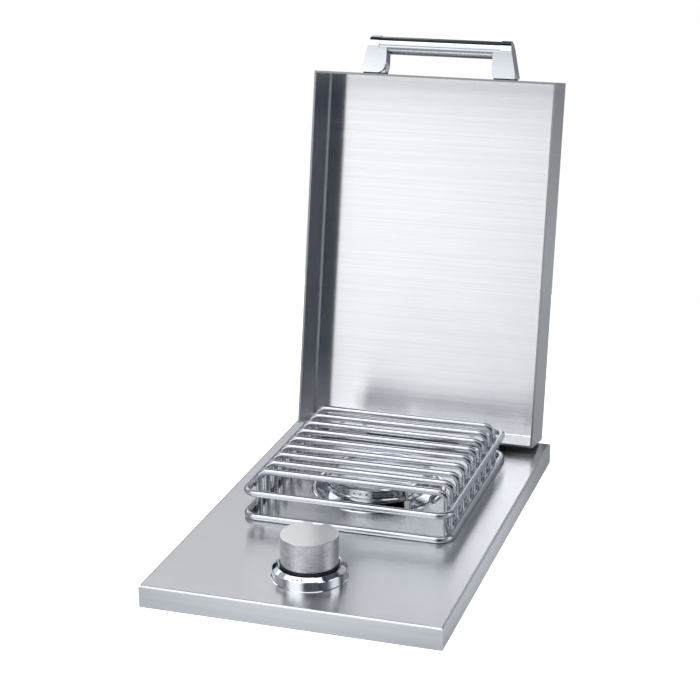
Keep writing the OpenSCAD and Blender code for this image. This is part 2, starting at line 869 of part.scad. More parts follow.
// Tapered plug that turns in the valve and meters the gas
module valve_plug() {
    color(brass)
    translate([0, knob_y, 0])
        difference() {
            union() {
                translate([0, 0, plug_low_z + 0.2])
                    cylinder(r1 = plug_low_r - plug_fit, r2 = plug_top_r - plug_fit,
                             h = plug_top_z - plug_low_z - 0.2);
                translate([0, 0, plug_top_z])
                    cylinder(r = chamber_r - 0.3, h = disc_t);
            }
            translate([-stem_r - 0.1, -tang_w / 2 - 0.1, plug_top_z - tang_slot])
                cube([2 * stem_r + 0.2, tang_w + 0.2, tang_slot + disc_t + eps]);
            translate([0, 0, tube_z])
                rotate([-90, 0, 0])
                    cylinder(r = 2, h = plug_top_r + 2);
            translate([0, 0, tube_z - 2])
                cylinder(r = 2, h = plug_top_z - tang_slot + 1 - tube_z + 2);
        }
}

// Stem: tang in the plug, collar under the bonnet, D-shaped end in the knob
module valve_stem() {
    tang_low = plug_top_z - tang_slot + push_travel + 1;
    shaft_low = plug_top_z + disc_t + push_travel + 1;
    color(dark_steel)
    translate([0, knob_y, 0])
        difference() {
            union() {
                translate([0, 0, shaft_low])
                    cylinder(r = stem_r, h = stem_top - shaft_low);
                intersection() {
                    translate([0, 0, tang_low])
                        cylinder(r = stem_r, h = shaft_low - tang_low + 1);
                    translate([-stem_r, -tang_w / 2, tang_low])
                        cube([2 * stem_r, tang_w, shaft_low - tang_low + 1]);
                }
                translate([0, 0, bonnet_z - collar_t])
                    cylinder(r = collar_r, h = collar_t);
            }
            translate([stem_r * 0.7, -stem_r - 1, hub_low])
                cube([stem_r, 2 * stem_r + 2, stem_top - hub_low + eps]);
        }
}

// Coil under the collar, as one tube swept along its helix
spring_wire = 0.7;
spring_coil_r = (stem_r + chamber_r) / 2 - 0.3;
spring_turns = 5;
spring_low = plug_top_z + disc_t + spring_wire;
spring_high = bonnet_z - collar_t - spring_wire;
module valve_spring() {
    sides = 6;
    rings = spring_turns * 16;
    pts = [for (i = [0:rings], k = [0:sides - 1])
           let (a = 360 * spring_turns * i / rings,
                b = 360 * k / sides,
                r = spring_coil_r + spring_wire * cos(b),
                z = spring_low + (spring_high - spring_low) * i / rings + spring_wire * sin(b))
           [r * cos(a), knob_y + r * sin(a), z]];
    walls = [for (i = [0:rings - 1], k = [0:sides - 1])
             let (p = i * sides + k, q = i * sides + (k + 1) % sides)
             each [[p, q, q + sides], [p, q + sides, p + sides]]];
    ends = [for (k = [1:sides - 2])
            each [[0, k + 1, k], [rings * sides, rings * sides + k, rings * sides + k + 1]]];
    color(dark_steel)
        polyhedron(points = pts, faces = [for (f = concat(walls, ends)) [f[0], f[2], f[1]]]);
}

// Brass jet that enters the mixing tube
module orifice() {
    color(brass)
    difference() {
        along_y(0, outlet_end - 8, tube_z)
            union() {
                cylinder(r = 4, h = 8);
                translate([0, 0, 8])
                    hex(13, 7);
                translate([0, 0, 15])
                    cylinder(r = 5.6, h = mouth_y - outlet_end - 2);
                translate([0, 0, 13 + mouth_y - outlet_end])
                    cylinder(r1 = 5.6, r2 = 2.5, h = 4);
            }
        along_y(0, outlet_end - 9, tube_z)
            cylinder(r = 2.5, h = mouth_y - outlet_end + 16);
        along_y(0, outlet_end, tube_z)
            cylinder(r = 0.6, h = mouth_y - outlet_end + 20);
    }
}

// Gas line: flare nut at the valve, bent pipe, fitting through the box's rear wall
module pipe_nut() {
    color(brass)
    translate([inlet_end, knob_y, tube_z])
        rotate([0, 90, 0])
            difference() {
                union() {
                    hex(17, 10);
                    translate([0, 0, 10])
                        cylinder(r1 = 8, r2 = 6, h = 4);
                }
                translate([0, 0, -eps])
                    cylinder(r = pipe_r + 0.05, h = 14 + 2 * eps);
            }
}

module gas_pipe() {
    color(brass)
    difference() {
        bent_rod([[inlet_end, knob_y, tube_z], [pipe_x, knob_y, tube_z],
                  [pipe_x, box_rear - box_t - 8, tube_z]], pipe_r, pipe_bend);
        translate([inlet_end - eps, knob_y, tube_z])
            rotate([0, 90, 0])
                cylinder(r = pipe_r - 1, h = 20);
    }
}

module inlet_fitting() {
    color(brass)
    along_y(pipe_x, box_rear - box_t - 13, tube_z)
        difference() {
            union() {
                hex(20, 13);
                cylinder(r = bulkhead_r, h = 13 + box_t + 7);
                cylinder(r = inlet_r, h = 13 + box_t + inlet_l - 3);
                translate([0, 0, 13 + box_t + inlet_l - 3])
                    cylinder(r1 = inlet_r, r2 = inlet_r - 2.5, h = 3);
            }
            translate([0, 0, -eps])
                cylinder(r = pipe_r + 0.05, h = 5 + eps);
            cylinder(r = 3.5, h = 14 + box_t + inlet_l);
        }
}

module inlet_locknut() {
    color(brass)
    along_y(pipe_x, box_rear, tube_z)
        difference() {
            hex(24, 6);
            translate([0, 0, -eps])
                cylinder(r = bulkhead_r + 0.05, h = 6 + 2 * eps);
        }
}

// Bezel: lip, upright wall, cone and inner wall, with a floor that is screwed down
module bezel() {
    z = deck_z;
    color(polished)
    difference() {
        translate([0, knob_y, 0])
            rotate_extrude($fn = 96)
                polygon([[collar_r + 1, z], [bezel_r + 1.2, z], [bezel_r + 1.2, z + 0.7],
                         [bezel_r, z + 1.3], [bezel_r, z + bezel_wall_h - 0.6],
                         [bezel_r - 0.5, z + bezel_wall_h], [bezel_top_r + 0.5, z + bezel_h - 0.3],
                         [bezel_top_r, z + bezel_h], [bezel_top_r - 0.8, z + bezel_h - 0.5],
                         [bezel_top_r - 1.2, z + bezel_floor], [collar_r + 1, z + bezel_floor]]);
        for (x = [-valve_screw_x, valve_screw_x])
            translate([x, knob_y, z - eps])
                cylinder(r = screw_r + hole_fit, h = bezel_floor + 2 * eps);
    }
}

module valve_screws() {
    color(dark_steel)
    for (x = [-valve_screw_x, valve_screw_x])
        translate([x, knob_y, deck_z + bezel_floor])
            pan_screw(screw_r, bezel_floor + deck_t + flange_t + 2);
}

// Knob: brushed metal cup with a scooped notch in its rim that points at the marks
module knob_shell() {
    z = deck_z;
    top = z + knob_h;
    color(brushed)
    difference() {
        translate([0, knob_y, 0])
            rotate_extrude($fn = 96)
                polygon(concat([[0, top - knob_top_t], [0, top]],
                               arc(knob_top_r - 0.8, top - 0.8, 0.8, 90, 0, 4),
                               [[knob_low_r, z + knob_low + 0.4], [knob_low_r - 0.4, z + knob_low],
                                [knob_low_r - knob_wall, z + knob_low],
                                [knob_top_r - knob_wall - 0.6, top - knob_top_t]]));
        translate([0, knob_y + knob_top_r + notch_r * 0.91, top + notch_r / 4])
            rotate([58, 0, 0])
                cylinder(r = notch_r, h = 5 * notch_r, center = true);
    }
}

// Moulded core that carries the shell on the stem, with a dark skirt under the shell's edge
module knob_core() {
    top = deck_z + knob_h - knob_top_t;
    r = knob_low_r - knob_wall - 0.4;
    disc = 2.5;
    rib = 14;
    color(black)
    translate([0, knob_y, 0])
        difference() {
            union() {
                translate([0, 0, hub_low])
                    cylinder(r = 8, h = top - hub_low);
                translate([0, 0, top - disc])
                    cylinder(r = r, h = disc);
                translate([0, 0, skirt_z])
                    cylinder(r = skirt_r, h = skirt_t, $fn = 96);
                for (a = [45, 135])
                    rotate([0, 0, a])
                        translate([-r + 0.5, -1, top - rib])
                            cube([2 * r - 1, 2, rib]);
            }
            translate([0, 0, hub_low - eps])
                difference() {
                    cylinder(r = stem_r + 0.03, h = stem_top - hub_low + 1);
                    translate([stem_r * 0.7 + 0.03, -stem_r - 1, -1])
                        cube([stem_r, 2 * stem_r + 2, stem_top - hub_low + 3]);
                }
        }
}

// One of the grate's two rings
module grate_ring(z) {
    bent_rod([[-ring_x, burner_y - ring_y, z], [ring_x, burner_y - ring_y, z],
              [ring_x, burner_y + ring_y, z], [-ring_x, burner_y + ring_y, z]],
             rod_r, ring_bend, true);
}

module grate_lower_ring() {
    color(polished)
        grate_ring(deck_z + rod_r);
}

module grate_upper_ring() {
    color(polished)
        grate_ring(deck_z + upper_ring_h);
}

// Bars bent down at both ends inside the rings
module grate_bars() {
    top = deck_z + grate_h - rod_r;
    color(polished)
    for (i = [0:bar_count - 1])
        translate([0, burner_y + (i - (bar_count - 1) / 2) * bar_pitch, 0])
            bent_rod([[-leg_x, 0, deck_z], [-leg_x, 0, top], [leg_x, 0, top],
                      [leg_x, 0, deck_z]], rod_r, bar_bend);
}

// Lid: folded sheet with a hem along its free edges
module lid_shell() {
    color(brushed)
    opened()
    difference() {
        translate([0, lid_mid_y, lid_low])
            union() {
                folded_sheet(lid_w, lid_d, lid_h, lid_bend, lid_t);
                frame_strip(lid_w, lid_d, lid_hem, 2 * lid_t);
            }
        for (s = [-1, 1], x = [-handle_screw_gap / 2, handle_screw_gap / 2])
            along_y(s * bracket_mid + x, lid_front - eps, handle_z)
                cylinder(r = screw_r + hole_fit, h = lid_t + 2 * eps);
        each_leaf_hole()
            along_y(0, lid_rear - lid_t - eps, pivot_z + leaf_hole_h)
                cylinder(r = 1.65, h = lid_t + 2 * eps);
    }
}

// Stretch of knuckle between two places along X
module knuckle(from, to) {
    translate([from, pivot_y, pivot_z])
        rotate([0, 90, 0])
            cylinder(r = knuckle_r, h = to - from);
}

module pin_bore(r) {
    translate([-hinge_w, pivot_y, pivot_z])
        rotate([0, 90, 0])
            cylinder(r = r, h = 2 * hinge_w);
}

module hinge_deck_leaves() {
    edge = sqrt(leaf_clear * leaf_clear - pow(knuckle_r - leaf_t, 2));
    color(dark_steel)
    each_hinge()
        difference() {
            union() {
                translate([-hinge_w / 2, pivot_y, deck_z])
                    cube([hinge_w, deck_leaf_d, leaf_t]);
                knuckle(-hinge_w / 2, -knuckle_step / 2 - knuckle_gap);
                knuckle(knuckle_step / 2 + knuckle_gap, hinge_w / 2);
            }
            translate([-knuckle_step / 2 - knuckle_gap, pivot_y - eps, deck_z - eps])
                cube([knuckle_step + 2 * knuckle_gap, edge + eps, leaf_t + 2 * eps]);
            pin_bore(hinge_pin_r + 0.02);
            for (x = [-leaf_hole_gap / 2, leaf_hole_gap / 2])
                translate([x, deck_hole_y, deck_z - eps]) {
                    cylinder(r = screw_r + hole_fit, h = leaf_t + 2 * eps);
                    translate([0, 0, eps + leaf_t - 1.2])
                        cylinder(r1 = screw_r + hole_fit, r2 = 2 * screw_r + hole_fit, h = 1.2 + 0.01);
                }
        }
}

module hinge_lid_leaves() {
    low = sqrt(leaf_clear * leaf_clear - pow(hinge_setback - leaf_t, 2)) + 0.4;
    color(dark_steel)
    opened()
    each_hinge()
        difference() {
            union() {
                translate([-hinge_w / 2, lid_rear, pivot_z + low])
                    cube([hinge_w, leaf_t, lid_leaf_h - low]);
                translate([-knuckle_step / 2, lid_rear, pivot_z - 0.5])
                    cube([knuckle_step, leaf_t + 1, low + 3]);
                knuckle(-knuckle_step / 2, knuckle_step / 2);
            }
            pin_bore(hinge_pin_r + run_fit);
            for (x = [-leaf_hole_gap / 2, leaf_hole_gap / 2])
                along_y(x, lid_rear - eps, pivot_z + leaf_hole_h)
                    cylinder(r = 1.65, h = leaf_t + 2 * eps);
        }
}

module hinge_pins() {
    color(polished)
    each_hinge()
        translate([-hinge_w / 2 - 0.5, pivot_y, pivot_z])
            rotate([0, 90, 0])
                cylinder(r = hinge_pin_r, h = hinge_w + 1);
}

module hinge_deck_screws() {
    color(dark_steel)
    each_leaf_hole()
        translate([0, deck_hole_y, deck_z + leaf_t - 0.05])
            union() {
                translate([0, 0, -1.2])
                    cylinder(r1 = screw_r, r2 = 2 * screw_r, h = 1.2);
                translate([0, 0, -leaf_t - deck_t - 7])
                    cylinder(r = screw_r, h = leaf_t + deck_t + 6);
            }
}

module hinge_deck_nuts() {
    color(dark_steel)
    each_leaf_hole()
        translate([0, deck_hole_y, under_z - 3.2])
            difference() {
                hex(3.5 * screw_r, 3.2);
                translate([0, 0, -eps])
                    cylinder(r = screw_r + thread_fit, h = 3.2 + 2 * eps);
            }
}

// Rivets through the lid's rear wall and the lid leaf
module hinge_rivets() {
    color(dark_steel)
    opened()
    each_leaf_hole()
        along_y(0, lid_rear - lid_t, pivot_z + leaf_hole_h)
            union() {
                cylinder(r = 1.6, h = lid_t + leaf_t);
                translate([0, 0, -0.8])
                    cylinder(r1 = 2.4, r2 = 3.2, h = 0.8);
                translate([0, 0, lid_t + leaf_t])
                    cylinder(r1 = 3.2, r2 = 2.4, h = 0.8);
            }
}

// Handle frame: X along the bar, Y out of the lid's front wall, Z towards the free edge
module handle_frame() {
    opened()
    translate([0, lid_front, handle_z])
        rotate([180, 0, 0])
            children();
}

// Outline of a bracket seen square on, outer side towards +X, from its own middle
module bracket_outline() {
    out = handle_half - bracket_mid;
    top_out = out - bracket_lean;
    in = out - bracket_w;
    boss_in = top_out - boss_w + 1.5;
    polygon([[in + 3, pad_t], [out, pad_t], [top_out, bar_out + bar_d / 2 + 1],
             [boss_in, bar_out + bar_d / 2 + 1], [boss_in, ledge_y],
             [boss_in - ledge_w + 0.8, ledge_y], [boss_in - ledge_w, ledge_y - 0.8]]);
}

// Cast bracket: narrower at its back than at its front, rounded over the bar
module bracket_casting() {
    out = handle_half - bracket_mid;
    in = out - bracket_w;
    difference() {
        intersection() {
            linear_extrude(height = 2 * casting_half_t, center = true)
                bracket_outline();
            rotate([-90, 0, 0])
                linear_extrude(height = 2 * bar_out)
                    polygon([[in, -casting_half_t], [out, -casting_half_t],
                             [out - casting_draft, casting_half_t], [in + casting_draft, casting_half_t]]);
            rotate([90, 0, 90])
                linear_extrude(height = 4 * bracket_w, center = true)
                    polygon(concat([[0, -casting_half_t], [bar_out, -casting_half_t]],
                                   arc(bar_out, 0, casting_half_t, -90, 90, 12),
                                   [[0, casting_half_t]]));
        }
        // The bar's socket, open to the inner side
        translate([-bracket_w, bar_out, 0])
            rotate([0, 90, 0])
                cylinder(d = bar_d + 0.1, h = bracket_w + bar_half - bracket_mid);
        // The rounded inner corner of the front face
        translate([in + 1.5, pad_t, casting_half_t - 7])
            difference() {
                translate([-3, -eps, 0])
                    cube([bracket_round + 3, bracket_round + eps, 8]);
                translate([bracket_round, bracket_round, -eps])
                    cylinder(r = bracket_round, h = 9);
            }
        for (x = [-handle_screw_gap / 2, handle_screw_gap / 2])
            translate([x, pad_t - eps, 0])
                rotate([-90, 0, 0])
                    cylinder(r = screw_r + thread_fit, h = 13);
    }
}

module handle_bracket_right() {
    color(polished)
    handle_frame()
        translate([bracket_mid, 0, 0])
            mirror([0, 0, 1])
                bracket_casting();
}

module handle_bracket_left() {
    color(polished)
    handle_frame()
        translate([-bracket_mid, 0, 0])
            mirror([1, 0, 0])
                bracket_casting();
}

module handle_bar() {
    color(polished)
    handle_frame()
        translate([-bar_half, bar_out, 0])
            rotate([0, 90, 0])
                difference() {
                    cylinder(d = bar_d, h = 2 * bar_half);
                    translate([0, 0, -eps])
                        cylinder(d = bar_d - 3, h = 2 * bar_half + 2 * eps);
                }
}

module handle_pads() {
    color(black)
    handle_frame()
    for (s = [-1, 1])
        translate([s * (bracket_mid - 1), 0, 0])
            difference() {
                translate([-bracket_w / 2 + 3.5, 0, -casting_half_t + 1.5])
                    cube([bracket_w - 6, pad_t, 2 * casting_half_t - 3]);
                for (x = [-handle_screw_gap / 2, handle_screw_gap / 2])
                    translate([x + s, -eps, 0])
                        rotate([-90, 0, 0])
                            cylinder(r = screw_r + hole_fit, h = pad_t + 2 * eps);
            }
}

module handle_screws() {
    color(dark_steel)
    handle_frame()
    for (s = [-1, 1], x = [-handle_screw_gap / 2, handle_screw_gap / 2])
        translate([s * bracket_mid + x, -lid_t, 0])
            rotate([90, 0, 0])
                pan_screw(screw_r, lid_t + pad_t + handle_thread, 0.9);
}

deck();
deck_studs();
burner_box();
box_nuts();
drip_bowl();
burner_base();
burner_port_ring();
burner_cap();
burner_support();
burner_screws();
support_screws();
air_shutter();
electrode_ceramic();
electrode_pin();
electrode_clip();
electrode_screw();
igniter_module();
igniter_screws();
igniter_lead();
valve_body();
valve_bonnet();
valve_plug();
valve_stem();
valve_spring();
orifice();
pipe_nut();
gas_pipe();
inlet_fitting();
inlet_locknut();
bezel();
valve_screws();
knob_shell();
knob_core();
grate_lower_ring();
grate_upper_ring();
grate_bars();
lid_shell();
hinge_deck_leaves();
hinge_lid_leaves();
hinge_pins();
hinge_deck_screws();
hinge_deck_nuts();
hinge_rivets();
handle_bar();
handle_bracket_left();
handle_bracket_right();
handle_pads();
handle_screws();
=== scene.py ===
import json
import math

import bmesh
import bpy
from mathutils import Matrix, Vector


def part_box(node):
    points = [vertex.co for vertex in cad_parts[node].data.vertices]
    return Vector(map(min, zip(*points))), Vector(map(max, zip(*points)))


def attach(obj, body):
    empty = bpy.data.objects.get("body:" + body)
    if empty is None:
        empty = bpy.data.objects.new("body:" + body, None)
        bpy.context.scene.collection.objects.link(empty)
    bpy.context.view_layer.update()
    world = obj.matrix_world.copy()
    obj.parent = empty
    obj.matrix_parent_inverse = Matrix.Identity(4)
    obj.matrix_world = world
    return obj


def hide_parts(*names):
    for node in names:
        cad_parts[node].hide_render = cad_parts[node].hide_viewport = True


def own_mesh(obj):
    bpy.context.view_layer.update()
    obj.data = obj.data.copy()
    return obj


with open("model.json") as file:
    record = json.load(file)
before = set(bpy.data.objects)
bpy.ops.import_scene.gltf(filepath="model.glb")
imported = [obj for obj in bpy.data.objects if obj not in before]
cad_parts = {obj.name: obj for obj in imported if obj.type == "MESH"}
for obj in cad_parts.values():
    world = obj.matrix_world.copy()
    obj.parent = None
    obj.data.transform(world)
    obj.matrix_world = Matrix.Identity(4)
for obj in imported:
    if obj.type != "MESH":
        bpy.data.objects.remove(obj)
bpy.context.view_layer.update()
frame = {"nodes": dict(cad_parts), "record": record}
nodes = frame["nodes"]

MM = 0.001
WHITE = (1, 1, 1, 1)

# Places on the CAD, in metres, and the lid's angles
KNOB = Vector((0.0, -0.183, 0.0))
DECK_Z = 0.025
PIVOT = Vector((0.0, 0.2119, 0.0295))
OPEN = math.radians(101.0)
LEAN = math.radians(11.0)


# Camera, as fitted to the photograph without lens shift

SENSOR_WIDTH = 36.0
LENS = 94.07
CAMERA_AT = Vector((0.5851, -1.8313, 0.8817))
# Degrees to the left of +Y, down from level, and round the line of sight
YAW, PITCH, ROLL = 18.084, 19.067, -0.513


def make_camera():
    cam = bpy.data.objects.new("camera", bpy.data.cameras.new("camera"))
    bpy.context.scene.collection.objects.link(cam)
    bpy.context.scene.camera = cam
    cam.data.sensor_width = SENSOR_WIDTH
    cam.data.lens = LENS
    cam.data.clip_start = 0.05
    cam.data.clip_end = 60.0
    yaw, pitch, roll = (math.radians(v) for v in (YAW, PITCH, ROLL))
    ahead = Vector((-math.sin(yaw) * math.cos(pitch), math.cos(yaw) * math.cos(pitch), -math.sin(pitch)))
    right = Vector((math.cos(yaw), math.sin(yaw), 0.0))
    up = right.cross(ahead)
    c, s = math.cos(roll), math.sin(roll)
    right, up = c * right + s * up, c * up - s * right
    m = Matrix.Identity(4)
    for i in range(3):
        m[i][0], m[i][1], m[i][2] = right[i], up[i], -ahead[i]
    m.translation = CAMERA_AT
    cam.matrix_world = m


make_camera()


# Node helpers

def tree_of(mat):
    mat.use_nodes = True
    nt = mat.node_tree
    nt.nodes.clear()
    out = nt.nodes.new("ShaderNodeOutputMaterial")
    return nt, out


def feed(nt, socket, value):
    """Link a node's output to a socket, or set the socket to a plain value."""
    if isinstance(value, bpy.types.NodeSocket):
        nt.links.new(value, socket)
    else:
        socket.default_value = value


def operation(nt, kind, op, values):
    n = nt.nodes.new(kind)
    n.operation = op
    for socket, value in zip(n.inputs, values):
        feed(nt, socket, value)
    return n.outputs[0]


def math_node(nt, op, *values):
    return operation(nt, "ShaderNodeMath", op, values)


def vector_math(nt, op, *values):
    return operation(nt, "ShaderNodeVectorMath", op, values)


def total(nt, first, *rest):
    for value in rest:
        first = math_node(nt, "ADD", first, value)
    return first


def mapping(nt, vec, scale=(1, 1, 1), rot=(0, 0, 0), loc=(0, 0, 0)):
    n = nt.nodes.new("ShaderNodeMapping")
    n.inputs["Scale"].default_value = scale
    n.inputs["Rotation"].default_value = rot
    n.inputs["Location"].default_value = loc
    nt.links.new(vec, n.inputs["Vector"])
    return n.outputs[0]


def noise(nt, vec, scale, detail=3.0, rough=0.5):
    n = nt.nodes.new("ShaderNodeTexNoise")
    n.inputs["Scale"].default_value = scale
    n.inputs["Detail"].default_value = detail
    n.inputs["Roughness"].default_value = rough
    nt.links.new(vec, n.inputs["Vector"])
    return n.outputs["Fac"]


def remap(nt, value, lo, hi, a, b):
    n = nt.nodes.new("ShaderNodeMapRange")
    n.inputs["From Min"].default_value = lo
    n.inputs["From Max"].default_value = hi
    n.inputs["To Min"].default_value = a
    n.inputs["To Max"].default_value = b
    nt.links.new(value, n.inputs["Value"])
    return n.outputs[0]


def ramp(nt, value, stops):
    n = nt.nodes.new("ShaderNodeValToRGB")
    els = n.color_ramp.elements
    while len(els) < len(stops):
        els.new(0.5)
    for e, (p, c) in zip(els, stops):
        e.position = p
        e.color = (*c, 1.0)
    nt.links.new(value, n.inputs["Fac"])
    return n.outputs["Color"]


def mix_float(nt, fac, a, b):
    n = nt.nodes.new("ShaderNodeMix")
    n.data_type = "FLOAT"
    for i, value in ((0, fac), (2, a), (3, b)):
        feed(nt, n.inputs[i], value)
    return n.outputs[0]


def mix_vec(nt, fac, a, b):
    n = nt.nodes.new("ShaderNodeMix")
    n.data_type = "VECTOR"
    for i, value in ((0, fac), (4, a), (5, b)):
        feed(nt, n.inputs[i], value)
    return n.outputs[1]


def bump(nt, height, strength, distance):
    n = nt.nodes.new("ShaderNodeBump")
    n.inputs["Strength"].default_value = strength
    n.inputs["Distance"].default_value = distance
    nt.links.new(height, n.inputs["Height"])
    return n.outputs["Normal"]


def principled(nt, out, metallic, anisotropic=0.0, coat=0.0):
    b = nt.nodes.new("ShaderNodeBsdfPrincipled")
    b.inputs["Metallic"].default_value = metallic
    b.inputs["Anisotropic"].default_value = anisotropic
    b.inputs["Coat Weight"].default_value = coat
    nt.links.new(b.outputs[0], out.inputs["Surface"])
    return b


def coords(nt):
    return nt.nodes.new("ShaderNodeTexCoord").outputs["Object"]


def split(nt, vec):
    n = nt.nodes.new("ShaderNodeSeparateXYZ")
    nt.links.new(vec, n.inputs[0])
    return n.outputs


def join(nt, x, y, z):
    n = nt.nodes.new("ShaderNodeCombineXYZ")
    for socket, value in zip(n.inputs, (x, y, z)):
        feed(nt, socket, value)
    return n.outputs[0]


def tinted(nt, tint, shade):
    """A colour times a shade near 1."""
    n = nt.nodes.new("ShaderNodeMix")
    n.data_type = "RGBA"
    n.blend_type = "MULTIPLY"
    n.inputs[0].default_value = 1.0
    feed(nt, n.inputs[6], tint)
    nt.links.new(join(nt, shade, shade, shade), n.inputs[7])
    return n.outputs[2]


def background(nt, colour, strength=1.0):
    n = nt.nodes.new("ShaderNodeBackground")
    feed(nt, n.inputs["Color"], colour)
    n.inputs["Strength"].default_value = strength
    return n.outputs[0]


def mix_shader(nt, fac, a, b):
    n = nt.nodes.new("ShaderNodeMixShader")
    for socket, value in zip(n.inputs, (fac, a, b)):
        nt.links.new(value, socket)
    return n.outputs[0]


# Materials

PAINTED_EDGE_SHADE = 0.35      # painted shade: colour factor on a sheet's free edges
SCUFFED_BEND = 0.38   # roughness of the bends along its sides


def sheet_metal(name, tint, rough, turn, across, across_end, aniso=0.75, streak=0.02, wear=0.015,
                serration=0.006, edge_z=None):
    """Brushed sheet whose grain runs along X, and round the folds as it does on a folded blank.
    turn takes the object's own coordinates back to the flat, unfolded lie of the sheet. The bends
    along the sides are scuffed, so that they scatter light round the bend. edge_z is the height,
    in that flat lie, below which the free edges of the sheet get a painted shade, a darker colour."""
    mat = bpy.data.materials.new(name)
    nt, out = tree_of(mat)
    p = mapping(nt, coords(nt), rot=(turn, 0, 0))
    geo = nt.nodes.new("ShaderNodeNewGeometry")
    nrm = nt.nodes.new("ShaderNodeVectorTransform")
    nrm.vector_type = "NORMAL"
    nrm.convert_from, nrm.convert_to = "WORLD", "OBJECT"
    nt.links.new(geo.outputs["True Normal"], nrm.inputs[0])
    n = split(nt, mapping(nt, nrm.outputs[0], rot=(turn, 0, 0)))
    end = math_node(nt, "GREATER_THAN", math_node(nt, "ABSOLUTE", n[1]), 0.72)
    sideways = math_node(nt, "ABSOLUTE", n[0])
    bend = math_node(nt, "MULTIPLY", math_node(nt, "GREATER_THAN", sideways, 0.1),
                     math_node(nt, "LESS_THAN", sideways, 0.98))
    flat = mapping(nt, p, scale=(1.2, 1100, 1.2))
    edge = mapping(nt, p, scale=(1.2, 1.2, 1100))
    fine = noise(nt, mix_vec(nt, end, flat, edge), 1.0, 2.0, 0.5)
    flat2 = mapping(nt, p, scale=(2.4, 520, 2.4), loc=(5.2, 1.3, 0.7))
    edge2 = mapping(nt, p, scale=(2.4, 2.4, 520), loc=(5.2, 1.3, 0.7))
    lines = noise(nt, mix_vec(nt, end, flat2, edge2), 1.0, 2.0, 0.5)
    cloud = noise(nt, mapping(nt, p, scale=(5.0, 9.0, 9.0)), 1.0, 3.0, 0.5)
    smudge = noise(nt, mapping(nt, p, scale=(26.0, 40.0, 40.0), loc=(2, 7, 1)), 1.0, 4.0, 0.6)
    b = principled(nt, out, 1.0, aniso)
    shade = total(nt, remap(nt, fine, 0.3, 0.7, -streak, streak),
                  remap(nt, lines, 0.38, 0.62, -streak * 1.3, streak * 1.3),
                  remap(nt, cloud, 0.3, 0.7, -wear, wear), 1.0)
    if edge_z is not None:
        # Painted shade: free edges below edge_z that face down in the flat lie are darkened in colour
        painted_edge_mask = math_node(nt, "MULTIPLY", math_node(nt, "LESS_THAN", split(nt, p)[2], edge_z),
                        math_node(nt, "LESS_THAN", n[2], -0.6))
        shade = mix_float(nt, painted_edge_mask, shade, PAINTED_EDGE_SHADE)
    nt.links.new(tinted(nt, (*tint, 1), shade), b.inputs["Base Color"])
    r = total(nt, remap(nt, lines, 0.3, 0.7, -0.01, 0.01), remap(nt, smudge, 0.35, 0.7, 0, 0.012),
              rough)
    nt.links.new(mix_float(nt, bend, r, SCUFFED_BEND), b.inputs["Roughness"])
    normal = geo.outputs["Normal"]
    tilt = join(nt, remap(nt, fine, 0.2, 0.8, -serration, serration), 0.0, 0.0)
    tilted = vector_math(nt, "NORMALIZE", vector_math(nt, "ADD", normal, tilt))
    nt.links.new(tilted, b.inputs["Normal"])
    brushed = mix_vec(nt, end, across, across_end)
    round_bend = vector_math(nt, "CROSS_PRODUCT", across, normal)
    nt.links.new(mix_vec(nt, bend, brushed, round_bend), b.inputs["Tangent"])
    return mat


def polished(name, tint, rough, spread=0.03, scale=60, grain=(1, 1, 1), depth=0.00001):
    """Polished or satin metal with faint buffing marks and a little unevenness."""
    mat = bpy.data.materials.new(name)
    nt, out = tree_of(mat)
    p = coords(nt)
    marks = noise(nt, mapping(nt, p, scale=tuple(scale * g for g in grain)), 1.0, 4.0, 0.6)
    cloud = noise(nt, p, 22.0, 3.0, 0.5)
    b = principled(nt, out, 1.0)
    a = tuple(c * 0.93 for c in tint)
    z = tuple(min(1.0, c * 1.04) for c in tint)
    nt.links.new(ramp(nt, cloud, [(0.3, a), (0.7, z)]), b.inputs["Base Color"])
    r = math_node(nt, "ADD", remap(nt, marks, 0.3, 0.7, -spread, spread), rough)
    nt.links.new(r, b.inputs["Roughness"])
    nt.links.new(bump(nt, marks, 0.3, depth), b.inputs["Normal"])
    return mat


def knob_metal(name, side_tint, top_tint):
    """Knob: its side is brushed round, with a fine mottle, and its flat top is satin and paler."""
    mat = bpy.data.materials.new(name)
    nt, out = tree_of(mat)
    p = mapping(nt, coords(nt), loc=tuple(-KNOB))
    fine = noise(nt, mapping(nt, p, scale=(90, 90, 1300)), 1.0, 3.0, 0.6)
    mottle = noise(nt, mapping(nt, p, scale=(380, 380, 900)), 1.0, 3.0, 0.6)
    patch = noise(nt, mapping(nt, p, scale=(70, 70, 60)), 1.0, 3.0, 0.6)
    top = noise(nt, mapping(nt, p, scale=(14, 1500, 14)), 1.0, 3.0, 0.6)
    geo = nt.nodes.new("ShaderNodeNewGeometry")
    up = math_node(nt, "GREATER_THAN", split(nt, geo.outputs["True Normal"])[2], 0.8)
    side = total(nt, remap(nt, fine, 0.3, 0.7, -0.20, 0.20),
                 remap(nt, mottle, 0.3, 0.7, -0.12, 0.12), remap(nt, patch, 0.3, 0.7, -0.07, 0.07))
    shade = mix_float(nt, up, side, remap(nt, top, 0.3, 0.7, -0.02, 0.02))
    shade = math_node(nt, "ADD", shade, 1.0)
    b = principled(nt, out, 1.0)
    tint = mix_vec(nt, up, side_tint, top_tint)
    nt.links.new(tinted(nt, tint, shade), b.inputs["Base Color"])
    r = mix_float(nt, up, remap(nt, mottle, 0.3, 0.7, 0.40, 0.48), 0.20)
    nt.links.new(r, b.inputs["Roughness"])
    h = mix_float(nt, up, fine, top)
    nt.links.new(bump(nt, h, 0.4, 0.00003), b.inputs["Normal"])
    return mat


